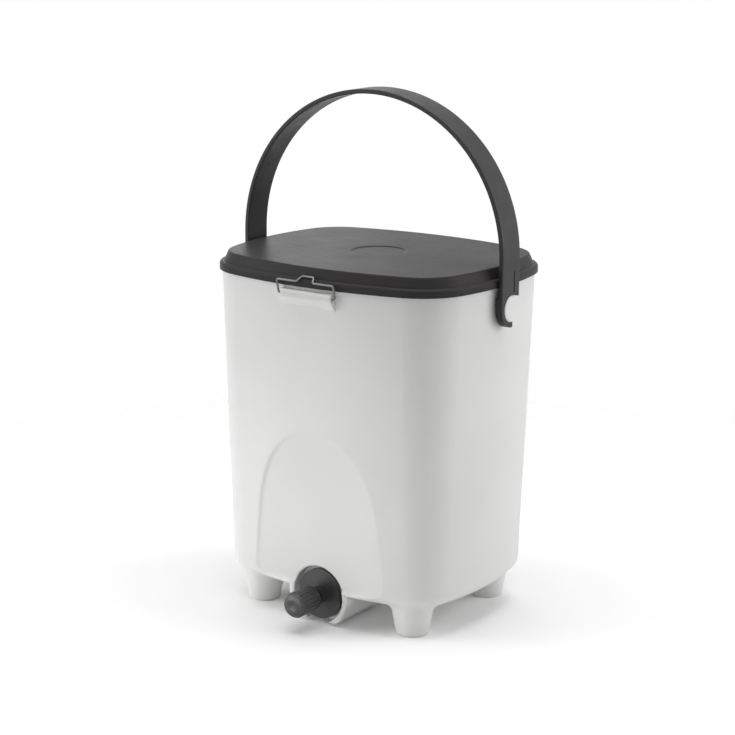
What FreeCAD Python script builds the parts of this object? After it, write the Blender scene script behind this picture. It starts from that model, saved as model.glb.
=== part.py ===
import FreeCAD
import Part
import Sketcher
import math
import os
import re

# Driving dimensions in millimetres and degrees. Z is up, the tap faces -Y and the floor is Z = 0.
SIZES = {
    # Plan outline of the lid skirt: four corner arcs joined by four shallow side arcs
    "lid_half_width": 144.0,
    "lid_half_depth": 119.0,
    "lid_corner_radius": 55.0,
    "side_radius_x": 290.0,
    "side_radius_y": 386.0,
    # Lid section
    "skirt_bottom": 332.4,
    "skirt_height": 7.8,
    "skirt_wall": 2.0,
    "skirt_round": 3.0,
    "ledge_width": 4.4,
    "ledge_wall": 2.2,
    "band_height": 9.8,
    "band_inset": 4.3,
    "band_round": 2.0,
    "lid_wall": 2.4,
    "rib_wall": 2.0,
    "rib_gap": 3.5,
    "rib_drop": 5.4,
    "dimple_radius": 27.0,
    "dimple_depth": 0.7,
    "dimple_draft": 65.0,
    # Seal ring under the ledge
    "seal_thickness": 2.0,
    "seal_width": 4.2,
    "seal_gap": 0.2,
    # Tub
    "rim_gap": 0.7,
    "tub_wall": 2.8,
    "tub_taper": 1.87,
    "base_level": 30.0,
    "base_round": 16.0,
    "floor_wall": 3.0,
    "foot_shift_x": 5.1632,
    "foot_shift_y": 14.5331,
    "foot_radius": 15.5,
    "foot_taper": 10.8,
    "foot_round": 1.5,
    "foot_wall": 4.0,
    "foot_blend": 10.0,
    "mouth_overcut": 2.0,
    # Arched panel sunk in the front wall: straight across, upright below, bent forward above.
    # Its outline lies level with the lid's front, and its edges slope inwards from there
    "arch_foot_drop": 27.0,
    "arch_top": 204.6,
    "arch_crown_radius": 89.0,
    "arch_side_radius": 132.0,
    "arch_mid_half_width": 97.6,
    "arch_half_width": 107.9,
    "arch_corner": 47.0,
    "panel_draft": 60.0,
    "panel_depth": 6.7,
    "panel_lean": 2.8,
    "panel_bend_height": 120.0,
    "panel_bend_radius": 520.0,
    # Tap socket moulded under the front of the tub, and the drain trough behind it
    "tap_ground_gap": 4.4,
    "socket_gap": 4.0,
    "socket_wall": 4.9,
    "socket_inset": 19.0,
    "socket_ground_gap": 3.0,
    "trough_length": 65.0,
    # Handle pivots, and latch lugs that slope back into the wall below
    "pivot_drop": 21.4,
    "boss_radius": 12.5,
    "boss_proud": 0.4,
    "boss_round": 1.0,
    "lug_half_width": 29.0,
    "lug_drop": 3.4,
    "lug_face_height": 7.5,
    "lug_slope_height": 8.5,
    "lug_proud": 2.0,
    "lug_round": 1.2,
    "latch_pivot_inset": 2.3,
    "latch_pivot_drop": 4.4,
    "latch_hole_gap": 0.2,
    # Bail handle: a flat strap bent to a semicircle over two straight legs
    "strap_gap": 0.8,
    "strap_thickness": 4.4,
    "strap_setback": 4.0,
    "strap_round": 0.9,
    "arch_centre_rise": 7.0,
    "hook_clearance": 0.3,
    "hook_ring": 4.7,
    "hook_tub_gap": 0.9,
    "hook_swing_gap": 0.6,
    "hook_mouth_drop": 2.0,
    "hook_lip_end": 2.0,
    "groove_width": 4.0,
    "groove_offset": 3.0,
    "groove_rise": 15.0,
    "groove_length": 20.0,
    "groove_depth": 0.5,
    # Wire latches
    "wire_radius": 1.0,
    "wire_bend": 2.6,
    "wire_side_gap": 3.0,
    "wire_tail": 9.0,
    "wire_run_drop": 3.2,
    "wire_run_gap": 1.8,
    "loop_half_width": 9.0,
    "loop_draw_in": 2.5,
    "loop_height": 7.0,
    "loop_lean": 52.0,
    # Tap
    "flange_radius": 24.6,
    "flange_thickness": 5.0,
    "flange_recess": 3.0,
    "flange_flats": 22.0,
    "flange_flat_turn": 13.0,
    "gasket_radius": 20.0,
    "gasket_thickness": 2.0,
    "barrel_radius": 9.0,
    "barrel_clearance": 0.3,
    "collar_length": 7.0,
    "washer_radius": 16.0,
    "washer_thickness": 2.0,
    "nut_radius": 16.5,
    "nut_thickness": 8.0,
    "nut_seat": 0.2,
    "barrel_tail": 9.0,
    "spindle_radius": 6.0,
    "spindle_clearance": 0.15,
    "spindle_bore": 3.2,
    "port_radius": 2.5,
    "port_reach": 3.5,
    "bore_past_port": 3.5,
    "ring_section": 0.75,
    "ring_seat": 0.05,
    "ring_setback": 3.0,
    "clip_thickness": 1.2,
    "clip_radius": 8.0,
    "clip_groove_depth": 0.8,
    "clip_gap": 0.3,
    "spindle_tail": 1.5,
    "knob_radius": 12.5,
    "knob_length": 30.0,
    "knob_gap": 7.5,
    "knob_socket": 18.0,
    "knob_fit": 0.05,
    "knob_dome": 4.0,
    "knob_nose_length": 1.3,
    "knob_nose_drop": 2.0,
    "knob_face_drop": 6.0,
    "knob_dimple_radius": 5.0,
    "knob_dimple_depth": 1.0,
    "knob_groove_radius": 0.9,
    "knob_groove_rise": 0.2,
    "knob_groove_count": 22.0,
    # Drain grate
    "grate_tap_gap": 0.5,
    "grate_thickness": 2.5,
    "grate_clearance": 1.2,
    "grate_leg_radius": 5.0,
    "grate_leg_shift_x": 1.1632,
    "grate_leg_shift_y": 2.5331,
    "grate_hole_radius": 2.5,
    "grate_hole_shift": 6.0,
    "grate_pitch_x": 16.0,
    "grate_pitch_y": 15.0,
    "grate_edge_x": 40.0,
    "grate_edge_y": 50.0,
}

# Sizes that follow from the driving ones
DERIVED = {
    # Centre of the plan's corner arcs, which touch both side arcs
    "side_centre_x": "(side_radius_x - lid_half_width)",
    "side_centre_y": "(side_radius_y - lid_half_depth)",
    "side_centres_apart": "sqrt(side_centre_x^2 + side_centre_y^2)",
    "corner_reach_x": "(side_radius_x - lid_corner_radius)",
    "corner_reach_y": "(side_radius_y - lid_corner_radius)",
    "corner_squares": "(corner_reach_x^2 - corner_reach_y^2 + side_centres_apart^2)",
    "corner_along": "(corner_squares / (2 * side_centres_apart))",
    "corner_across": "sqrt(corner_reach_x^2 - corner_along^2)",
    "corner_turned": "(corner_along * side_centre_x + corner_across * side_centre_y)",
    "corner_x": "(corner_turned / side_centres_apart - side_centre_x)",
    "corner_y": "((corner_across * side_centre_x - corner_along * side_centre_y) / side_centres_apart)",
    "tub_half_width": "(lid_half_width - skirt_wall - rim_gap)",
    "tub_half_depth": "(lid_half_depth - skirt_wall - rim_gap)",
    "tub_inset": "(skirt_wall + rim_gap)",
    "rib_inset": "(tub_inset + tub_wall + rib_gap)",
    "rib_bottom": "(skirt_bottom - rib_drop)",
    "ledge_level": "(skirt_bottom + skirt_height)",
    "ledge_underside": "(skirt_bottom + skirt_height - ledge_wall)",
    "lid_top": "(skirt_bottom + skirt_height + band_height)",
    "rim_level": "(skirt_bottom + skirt_height - ledge_wall - seal_thickness - seal_gap)",
    "floor_level": "(base_level + floor_wall)",
    "foot_spread_x": "(corner_x + foot_shift_x)",
    "foot_spread_y": "(corner_y + foot_shift_y)",
    "grate_level": "(tap_axis_height + nut_radius + grate_tap_gap)",
    "grate_height": "(grate_level - floor_level)",
    "grate_leg_spread_x": "(corner_x + grate_leg_shift_x)",
    "grate_leg_spread_y": "(corner_y + grate_leg_shift_y)",
    "grate_columns": "(2 * floor((lid_half_width - grate_edge_x) / grate_pitch_x) + 1)",
    "grate_rows": "(2 * floor((lid_half_depth - grate_edge_y) / grate_pitch_y) + 1)",
    "tap_axis_height": "(flange_radius + tap_ground_gap)",
    "socket_bore": "(flange_radius + socket_gap)",
    "socket_radius": "(flange_radius + socket_gap + socket_wall)",
    "socket_reach": "(lid_half_depth - socket_inset)",
    "trough_back": "(socket_reach - trough_length)",
    "flange_face": "(socket_reach - flange_recess)",
    "socket_floor": "(socket_reach - flange_recess - flange_thickness - gasket_thickness)",
    "wall_back": "(socket_reach - flange_recess - flange_thickness - gasket_thickness - tub_wall)",
    "barrel_end": "(wall_back - washer_thickness - nut_thickness - barrel_tail)",
    "knob_back": "(flange_face + collar_length + knob_gap)",
    "knob_front": "(flange_face + collar_length + knob_gap + knob_length)",
    "hook_bore": "(boss_radius + hook_clearance)",
    "hook_outer": "(boss_radius + hook_clearance + hook_ring)",
    "hook_mouth_rise": "(boss_radius - hook_mouth_drop)",
    "hook_inner_reach": "(tub_half_width + hook_tub_gap)",
    "strap_front": "hook_outer",
    "strap_rear": "(hook_outer - strap_setback)",
    "strap_inner": "(lid_half_width + strap_gap)",
    "strap_half_span": "(strap_inner + strap_thickness / 2)",
    "strap_outer": "(strap_inner + strap_thickness)",
    "arch_centre_height": "(lid_top + arch_centre_rise)",
    "pivot_height": "(skirt_bottom - pivot_drop)",
    "boss_reach": "(strap_outer + boss_proud)",
    "groove_bottom": "(pivot_height + groove_rise)",
    "groove_top": "(groove_bottom + groove_length)",
    "lug_top": "(skirt_bottom - lug_drop)",
    "lug_face_bottom": "(lug_top - lug_face_height)",
    "lug_bottom": "(lug_face_bottom - lug_slope_height)",
    "lug_reach": "(lid_half_depth + lug_proud)",
    "lug_root": "(tub_half_depth - tub_wall / 2)",
    "latch_pivot_reach": "(lug_reach - latch_pivot_inset)",
    "latch_pivot_height": "(lug_top - latch_pivot_drop)",
    "wire_half_width": "(lug_half_width + wire_side_gap)",
    "wire_run_height": "(ledge_level - wire_run_drop + wire_radius)",
    "wire_run_reach": "(lid_half_depth + wire_run_gap + wire_radius)",
    "arch_bottom": "(base_level - arch_foot_drop)",
    "panel_bend_reach": "(tub_half_depth - (rim_level - panel_bend_height) * tan(tub_taper) - panel_depth)",
    "panel_foot_reach": "(panel_bend_reach - panel_bend_height * tan(panel_lean))",
    "panel_sink": "(lid_half_depth - panel_foot_reach)",
    "crown_centre": "(arch_top - arch_crown_radius)",
    "hole_radius": "(barrel_radius + barrel_clearance)",
}

TINY = 1e-6
NEAR = 0.01

doc = FreeCAD.newDocument("BokashiBin")
sheet = doc.addObject("Spreadsheet::Sheet", "Sizes")
for row, (alias, number) in enumerate(SIZES.items(), 1):
    sheet.set(f"A{row}", str(number))
    sheet.setAlias(f"A{row}", alias)
doc.recompute()


def cells(text):
    # Turns plain size names into references to the sheet's cells
    text = str(text)
    while any(re.search(rf"\b{name}\b", text) for name in DERIVED):
        for name, meaning in DERIVED.items():
            text = re.sub(rf"\b{name}\b", meaning, text)
    return re.sub(r"\b[a-z][a-z_]+\b", lambda m: f"Sizes.{m[0]}" if m[0] in SIZES else m[0], text)


def value(text):
    found = sheet.evalExpression(cells(text))
    return float(getattr(found, "Value", found))


def bind(thing, path, text):
    thing.setExpression(path, cells(text))


def new_body(name):
    return doc.addObject("PartDesign::Body", name)


def origin_plane(body, role):
    return next(item for item in body.Origin.OriginFeatures if item.Role == role)


def new_sketch(body, name, role, offset="0", turn=None):
    # A sketch on one of the body's own planes, moved along that plane's normal
    sketch = body.newObject("Sketcher::SketchObject", name)
    sketch.AttachmentSupport = [(origin_plane(body, role), "")]
    sketch.MapMode = "FlatFace"
    rotation = FreeCAD.Rotation() if turn is None else turn
    sketch.AttachmentOffset = FreeCAD.Placement(FreeCAD.Vector(0, 0, value(offset)), rotation)
    bind(sketch, "AttachmentOffset.Base.z", offset)
    return sketch


def name_and_bind(sketch, index, text):
    label = f"size_{index}"
    sketch.renameConstraint(index, label)
    bind(sketch, f"Constraints.{label}", text)


def hold(sketch, geometry, point, kind, text):
    # Holds one signed coordinate of a point, tied to the sheet
    number = value(text)
    if abs(number) < TINY:
        axis = -2 if kind == "DistanceX" else -1
        sketch.addConstraint(Sketcher.Constraint("PointOnObject", geometry, point, axis))
    elif number > 0:
        index = sketch.addConstraint(Sketcher.Constraint(kind, -1, 1, geometry, point, number))
        name_and_bind(sketch, index, text)
    else:
        index = sketch.addConstraint(Sketcher.Constraint(kind, geometry, point, -1, 1, -number))
        name_and_bind(sketch, index, f"-({text})")


def place_point(sketch, geometry, point, x, y):
    hold(sketch, geometry, point, "DistanceX", x)
    hold(sketch, geometry, point, "DistanceY", y)


def set_radius(sketch, geometry, text):
    index = sketch.addConstraint(Sketcher.Constraint("Radius", geometry, value(text)))
    name_and_bind(sketch, index, text)


def draw_polygon(sketch, points):
    places = [FreeCAD.Vector(value(x), value(y), 0) for x, y in points]
    count = len(points)
    first = sketch.GeometryCount
    for start, end in zip(places, places[1:] + places[:1]):
        sketch.addGeometry(Part.LineSegment(start, end), False)
    for step in range(count):
        following = first + (step + 1) % count
        sketch.addConstraint(Sketcher.Constraint("Coincident", first + step, 2, following, 1))
    for step, (x, y) in enumerate(points):
        place_point(sketch, first + step, 1, x, y)


def draw_circle(sketch, x, y, radius):
    centre = FreeCAD.Vector(value(x), value(y), 0)
    circle = Part.Circle(centre, FreeCAD.Vector(0, 0, 1), value(radius))
    index = sketch.addGeometry(circle, False)
    place_point(sketch, index, 3, x, y)
    set_radius(sketch, index, radius)


def draw_at_corners(sketch, spread_x, spread_y, radius):
    # One circle in each quarter of the plan
    for side_x in ("", "-"):
        for side_y in ("", "-"):
            draw_circle(sketch, f"{side_x}{spread_x}", f"{side_y}{spread_y}", radius)


def arc(centre_x, centre_y, radius, start, end):
    circle = Part.Circle(FreeCAD.Vector(centre_x, centre_y, 0), FreeCAD.Vector(0, 0, 1), radius)
    return Part.ArcOfCircle(circle, start, end)


def draw_outline(sketch, inset):
    # The plan outline, moved inwards by the inset: side arcs on the axes, corner arcs tangent to them
    corner = value(f"lid_corner_radius - ({inset})")
    side_x = value(f"side_radius_x - ({inset})")
    side_y = value(f"side_radius_y - ({inset})")
    to_x = value("side_centre_x")
    to_y = value("side_centre_y")
    corner_x = value("corner_x")
    corner_y = value("corner_y")
    low = math.atan2(corner_y, corner_x + to_x)
    high = math.atan2(corner_y + to_y, corner_x)
    turn = math.pi
    first = sketch.GeometryCount
    pieces = [
        arc(-to_x, 0, side_x, -low, low),
        arc(corner_x, corner_y, corner, low, high),
        arc(0, -to_y, side_y, high, turn - high),
        arc(-corner_x, corner_y, corner, turn - high, turn - low),
        arc(to_x, 0, side_x, turn - low, turn + low),
        arc(-corner_x, -corner_y, corner, turn + low, turn + high),
        arc(0, to_y, side_y, turn + high, 2 * turn - high),
        arc(corner_x, -corner_y, corner, 2 * turn - high, 2 * turn - low),
    ]
    for piece in pieces:
        sketch.addGeometry(piece, False)
    count = len(pieces)
    for step in range(count):
        following = first + (step + 1) % count
        sketch.addConstraint(Sketcher.Constraint("Tangent", first + step, 2, following, 1))
    place_point(sketch, first, 3, "lid_half_width - side_radius_x", "0")
    place_point(sketch, first + 2, 3, "0", "lid_half_depth - side_radius_y")
    place_point(sketch, first + 4, 3, "side_radius_x - lid_half_width", "0")
    place_point(sketch, first + 6, 3, "0", "side_radius_y - lid_half_depth")
    for side in (0, 4):
        set_radius(sketch, first + side, f"side_radius_x - ({inset})")
    for side in (2, 6):
        set_radius(sketch, first + side, f"side_radius_y - ({inset})")
    for side in (1, 3, 5, 7):
        set_radius(sketch, first + side, f"lid_corner_radius - ({inset})")


def draw_arch(sketch, wider):
    # Arched panel outline: round crown, flatter flanks, leaning sides and rounded foot corners
    crown = value(f"arch_crown_radius + ({wider})")
    flank = value(f"arch_side_radius + ({wider})")
    corner = value(f"arch_corner + ({wider})")
    crown_y = value("crown_centre")
    flank_x = value("arch_side_radius - arch_mid_half_width")
    flank_y = crown_y - math.sqrt((flank - crown) ** 2 - flank_x ** 2)
    corner_x = value("arch_half_width - arch_corner")
    corner_y = value("arch_bottom + arch_corner")
    meet = math.atan2(crown_y - flank_y, flank_x)
    away = FreeCAD.Vector(-flank_x - corner_x, flank_y - corner_y, 0)
    lean = math.atan2(away.y, away.x) - math.acos((corner - flank) / away.Length)
    high_x = flank * math.cos(lean) - flank_x
    high_y = flank * math.sin(lean) + flank_y
    low_x = corner * math.cos(lean) + corner_x
    low_y = corner * math.sin(lean) + corner_y
    toe_y = corner_y - corner
    spot = FreeCAD.Vector
    turn = math.pi
    pieces = [
        arc(0, crown_y, crown, meet, turn - meet),
        arc(flank_x, flank_y, flank, turn - meet, turn - lean),
        Part.LineSegment(spot(-high_x, high_y, 0), spot(-low_x, low_y, 0)),
        arc(-corner_x, corner_y, corner, turn - lean, 1.5 * turn),
        Part.LineSegment(spot(-corner_x, toe_y, 0), spot(corner_x, toe_y, 0)),
        arc(corner_x, corner_y, corner, 1.5 * turn, 2 * turn + lean),
        Part.LineSegment(spot(low_x, low_y, 0), spot(high_x, high_y, 0)),
        arc(-flank_x, flank_y, flank, lean, meet),
    ]
    for piece in pieces:
        sketch.addGeometry(piece, False)
    for step in range(len(pieces)):
        sketch.addConstraint(Sketcher.Constraint("Tangent", step, 2, (step + 1) % len(pieces), 1))
    place_point(sketch, 0, 3, "0", "crown_centre")
    set_radius(sketch, 0, f"arch_crown_radius + ({wider})")
    for flank_arc, side in ((1, "arch_side_radius - arch_mid_half_width"),
                            (7, "arch_mid_half_width - arch_side_radius")):
        hold(sketch, flank_arc, 3, "DistanceX", side)
        set_radius(sketch, flank_arc, f"arch_side_radius + ({wider})")
    for corner_arc, side in ((3, "arch_corner - arch_half_width"), (5, "arch_half_width - arch_corner")):
        place_point(sketch, corner_arc, 3, side, "arch_bottom + arch_corner")
        set_radius(sketch, corner_arc, f"arch_corner + ({wider})")


def draw_behind_panel(sketch, deeper):
    # Section of all that lies behind the panel's face: straight below, then an arc that bends forward
    lean = math.radians(value("panel_lean"))
    radius = value("panel_bend_radius")
    bend_x = -value(f"panel_bend_reach - ({deeper})")
    bend_y = value("panel_bend_height")
    centre_x = bend_x - radius * math.cos(lean)
    centre_y = bend_y - radius * math.sin(lean)
    top_y = value("arch_top + 2 * tub_wall")
    end = math.asin((top_y - centre_y) / radius)
    spot = FreeCAD.Vector
    foot = spot(-value(f"panel_foot_reach - ({deeper})"), 0, 0)
    bend = spot(bend_x, bend_y, 0)
    top = spot(centre_x + radius * math.cos(end), top_y, 0)
    back = spot(0, top_y, 0)
    pieces = [
        Part.LineSegment(foot, bend),
        arc(centre_x, centre_y, radius, lean, end),
        Part.LineSegment(top, back),
        Part.LineSegment(back, spot()),
        Part.LineSegment(spot(), foot),
    ]
    for piece in pieces:
        sketch.addGeometry(piece, False)
    sketch.addConstraint(Sketcher.Constraint("Tangent", 0, 2, 1, 1))
    for step in range(1, len(pieces)):
        sketch.addConstraint(Sketcher.Constraint("Coincident", step, 2, (step + 1) % len(pieces), 1))
    place_point(sketch, 0, 1, f"-(panel_foot_reach - ({deeper}))", "0")
    place_point(sketch, 0, 2, f"-(panel_bend_reach - ({deeper}))", "panel_bend_height")
    set_radius(sketch, 1, "panel_bend_radius")
    hold(sketch, 1, 2, "DistanceY", "arch_top + 2 * tub_wall")
    place_point(sketch, 3, 1, "0", "arch_top + 2 * tub_wall")
    place_point(sketch, 4, 1, "0", "0")


def draw_flat_bottomed_circle(sketch, radius, flat):
    # A circle about the tap axis, cut off level above the floor
    big = value(radius)
    axis = value("tap_axis_height")
    level = value(flat)
    half = math.sqrt(big ** 2 - (axis - level) ** 2)
    start = math.atan2(level - axis, half)
    right = FreeCAD.Vector(half, level, 0)
    left = FreeCAD.Vector(-half, level, 0)
    sketch.addGeometry(arc(0, axis, big, start, math.pi - start), False)
    sketch.addGeometry(Part.LineSegment(left, right), False)
    sketch.addConstraint(Sketcher.Constraint("Coincident", 0, 2, 1, 1))
    sketch.addConstraint(Sketcher.Constraint("Coincident", 1, 2, 0, 1))
    place_point(sketch, 0, 3, "0", "tap_axis_height")
    set_radius(sketch, 0, radius)
    sketch.addConstraint(Sketcher.Constraint("Horizontal", 1))
    index = sketch.addConstraint(Sketcher.Constraint("DistanceY", -1, 1, 1, 1, level))
    name_and_bind(sketch, index, flat)


def extrude(body, kind, name, sketch, length, reverse=False, taper=None):
    feature = body.newObject(f"PartDesign::{kind}", name)
    feature.Profile = sketch
    feature.Length = value(length)
    bind(feature, "Length", length)
    feature.Reversed = reverse
    if taper is not None:
        feature.TaperAngle = value(taper)
        bind(feature, "TaperAngle", taper)
    body.Tip = feature
    doc.recompute()
    return feature


def cut(body, name, sketch, length, reverse=False, taper=None):
    # A pocket that must take material away
    before = body.Shape.Volume
    feature = extrude(body, "Pocket", name, sketch, length, reverse, taper)
    if not body.Shape.Volume < before - TINY:
        raise RuntimeError(f"{name} removes nothing")
    return feature


def spin(body, kind, name, sketch):
    feature = body.newObject(f"PartDesign::{kind}", name)
    feature.Profile = sketch
    feature.ReferenceAxis = (sketch, ["H_Axis"])
    feature.Angle = 360
    body.Tip = feature
    doc.recompute()
    return feature


def round_edges(body, name, radius, chosen):
    base = body.Tip
    names = [f"Edge{n}" for n, edge in enumerate(base.Shape.Edges, 1) if chosen(edge)]
    if not names:
        raise RuntimeError(f"{name} finds no edges")
    feature = body.newObject("PartDesign::Fillet", name)
    feature.Base = (base, names)
    feature.Radius = value(radius)
    bind(feature, "Radius", radius)
    body.Tip = feature
    doc.recompute()
    return feature


def at_level(level):
    # Chooses edges that lie wholly at one height
    return lambda edge: max(abs(edge.BoundBox.ZMin - level), abs(edge.BoundBox.ZMax - level)) < NEAR


def at_foot_root():
    # Chooses the edges where a foot's cone meets the tub
    slope = math.tan(math.radians(value("foot_taper")))
    foot_x = value("foot_spread_x")
    foot_y = value("foot_spread_y")
    toe = value("foot_radius")
    base = value("base_level")

    def on_cone(spot):
        out = math.hypot(abs(spot.x) - foot_x, abs(spot.y) - foot_y)
        return spot.z > base - NEAR and abs(out - toe - spot.z * slope) < 5 * NEAR

    return lambda edge: all(on_cone(spot) for spot in edge.discretize(5))


def along_tap(name, points):
    # A turned piece about the tap axis; points give the distance in front of the bin's centre and the radius
    body = new_body(name)
    sketch = new_sketch(body, f"{name}_profile", "YZ_Plane")
    bind(sketch, "AttachmentOffset.Base.y", "tap_axis_height")
    draw_polygon(sketch, [(f"-({reach})", radius) for reach, radius in points])
    spin(body, "Revolution", f"{name}_turned", sketch)
    return body


def make_tub_outside():
    body = new_body("tub_outside")
    rim = new_sketch(body, "rim_outline", "XY_Plane", "rim_level")
    draw_outline(rim, "tub_inset")
    extrude(body, "Pad", "tub_block", rim, "rim_level - base_level", True, "-tub_taper")
    round_edges(body, "tub_base_round", "base_round", at_level(value("base_level")))

    feet = new_sketch(body, "foot_circles", "XY_Plane")
    draw_at_corners(feet, "foot_spread_x", "foot_spread_y", "foot_radius")
    extrude(body, "Pad", "feet", feet, "base_level + base_round / 2", False, "foot_taper")
    round_edges(body, "foot_toe_round", "foot_round", at_level(0))
    round_edges(body, "foot_root_blend", "foot_blend", at_foot_root())
    hollows = new_sketch(body, "foot_hollow_circles", "XY_Plane")
    draw_at_corners(hollows, "foot_spread_x", "foot_spread_y", "foot_radius - foot_wall")
    cut(body, "foot_hollows", hollows, "base_level - floor_wall", True)

    socket = new_sketch(body, "socket_outline", "XZ_Plane", "socket_reach")
    draw_flat_bottomed_circle(socket, "socket_radius", "socket_ground_gap")
    extrude(body, "Pad", "socket_tube", socket, "socket_reach - trough_back + tub_wall", True)

    mouth = new_sketch(body, "socket_mouth_circle", "XZ_Plane", "socket_reach")
    draw_circle(mouth, "0", "tap_axis_height", "socket_radius")
    cut(body, "socket_mouth", mouth, "socket_radius", True)

    bore = new_sketch(body, "socket_bore_circle", "XZ_Plane", "socket_reach")
    draw_circle(bore, "0", "tap_axis_height", "socket_bore")
    cut(body, "socket_recess", bore, "socket_reach - socket_floor")

    boss = new_sketch(body, "boss_circle", "YZ_Plane", "-boss_reach")
    draw_circle(boss, "0", "pivot_height", "boss_radius")
    extrude(body, "Pad", "pivot_bosses", boss, "2 * boss_reach")
    ends = value("boss_reach")
    round_edges(body, "boss_edge_round", "boss_round",
                lambda edge: abs(abs(edge.BoundBox.Center.x) - ends) < NEAR)

    lug = new_sketch(body, "lug_section", "YZ_Plane", "-lug_half_width")
    draw_polygon(lug, [("-lug_reach", "lug_top"), ("-lug_reach", "lug_face_bottom"),
                       ("-lug_root", "lug_bottom"), ("lug_root", "lug_bottom"),
                       ("lug_reach", "lug_face_bottom"), ("lug_reach", "lug_top")])
    extrude(body, "Pad", "latch_lugs", lug, "2 * lug_half_width")
    faces = value("lug_reach")
    round_edges(body, "lug_edge_round", "lug_round",
                lambda edge: abs(abs(edge.BoundBox.Center.y) - faces) < NEAR)

    pins = new_sketch(body, "latch_hole_circles", "YZ_Plane", "-lug_half_width")
    for side in ("", "-"):
        draw_circle(pins, f"{side}latch_pivot_reach", "latch_pivot_height", "wire_radius + latch_hole_gap")
    cut(body, "latch_holes", pins, "2 * lug_half_width", True)
    return body


def make_tub_inside():
    body = new_body("tub_inside")
    mouth = new_sketch(body, "mouth_outline", "XY_Plane", "rim_level + mouth_overcut")
    draw_outline(mouth, "tub_inset + tub_wall - mouth_overcut * tan(tub_taper)")
    extrude(body, "Pad", "cavity", mouth, "rim_level + mouth_overcut - floor_level", True, "-tub_taper")
    round_edges(body, "cavity_base_round", "base_round - tub_wall", at_level(value("floor_level")))

    housing = new_sketch(body, "socket_housing_circle", "XZ_Plane", "wall_back")
    draw_circle(housing, "0", "tap_axis_height", "socket_radius")
    cut(body, "socket_housing", housing, "socket_radius", True)

    trough = new_sketch(body, "trough_outline", "XZ_Plane", "wall_back")
    draw_flat_bottomed_circle(trough, "socket_radius - tub_wall", "socket_ground_gap + tub_wall")
    extrude(body, "Pad", "drain_trough", trough, "wall_back - trough_back", True)

    hole = new_sketch(body, "tap_hole_circle", "XZ_Plane", "socket_floor + tub_wall")
    draw_circle(hole, "0", "tap_axis_height", "hole_radius")
    extrude(body, "Pad", "tap_hole", hole, "3 * tub_wall", True)
    return body


def make_panel_room(name, deeper):
    # What the wall gives up in front of the panel, inside the arch's sloping edges
    body = new_body(name)
    arch = new_sketch(body, f"{name}_arch", "XZ_Plane", "lid_half_depth")
    draw_arch(arch, f"({deeper}) / cos(panel_draft)")
    extrude(body, "Pad", f"{name}_block", arch, f"panel_sink + ({deeper})", True, "-panel_draft")
    behind = new_sketch(body, f"{name}_section", "YZ_Plane", "-lid_half_width")
    draw_behind_panel(behind, deeper)
    cut(body, f"{name}_face", behind, "2 * lid_half_width", True)
    return body


def subtract(name, base, tool):
    piece = doc.addObject("Part::Cut", name)
    piece.Base = base
    piece.Tool = tool
    doc.recompute()
    return piece


def make_bin_body():
    outside = subtract("tub_with_panel", make_tub_outside(), make_panel_room("panel_front", "0"))
    inside = subtract("room_with_panel", make_tub_inside(), make_panel_room("panel_back", "tub_wall"))
    return subtract("bin_body", outside, inside)


def make_lid():
    body = new_body("lid")
    skirt = new_sketch(body, "skirt_outline", "XY_Plane", "skirt_bottom")
    draw_outline(skirt, "0")
    extrude(body, "Pad", "skirt_block", skirt, "skirt_height")
    round_edges(body, "skirt_edge_round", "skirt_round", at_level(value("ledge_level")))

    band = new_sketch(body, "band_outline", "XY_Plane", "ledge_level")
    draw_outline(band, "ledge_width")
    extrude(body, "Pad", "band_block", band, "band_height", False, "-atan(band_inset / band_height)")
    round_edges(body, "band_edge_round", "band_round", at_level(value("lid_top")))

    channel = new_sketch(body, "channel_outline", "XY_Plane", "skirt_bottom")
    draw_outline(channel, "skirt_wall")
    cut(body, "rim_channel", channel, "ledge_underside - skirt_bottom", True)

    hollow = new_sketch(body, "hollow_outline", "XY_Plane", "ledge_underside")
    draw_outline(hollow, "ledge_width + lid_wall")
    cut(body, "lid_hollow", hollow, "lid_top - lid_wall - ledge_underside", True,
        "-atan(band_inset / band_height)")

    rib = new_sketch(body, "rib_outline", "XY_Plane", "rib_bottom")
    draw_outline(rib, "rib_inset")
    draw_outline(rib, "rib_inset + rib_wall")
    extrude(body, "Pad", "plug_rib", rib, "lid_top - lid_wall - rib_bottom + lid_wall / 2")

    dimple = new_sketch(body, "dimple_circle", "XY_Plane", "lid_top")
    draw_circle(dimple, "0", "0", "dimple_radius")
    cut(body, "centre_dimple", dimple, "dimple_depth", False, "-dimple_draft")
    return body


def make_lid_seal():
    body = new_body("lid_seal")
    ring = new_sketch(body, "seal_outline", "XY_Plane", "ledge_underside - seal_thickness")
    draw_outline(ring, "skirt_wall + seal_gap")
    draw_outline(ring, "skirt_wall + seal_gap + seal_width")
    extrude(body, "Pad", "seal_ring", ring, "seal_thickness")
    return body


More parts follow.
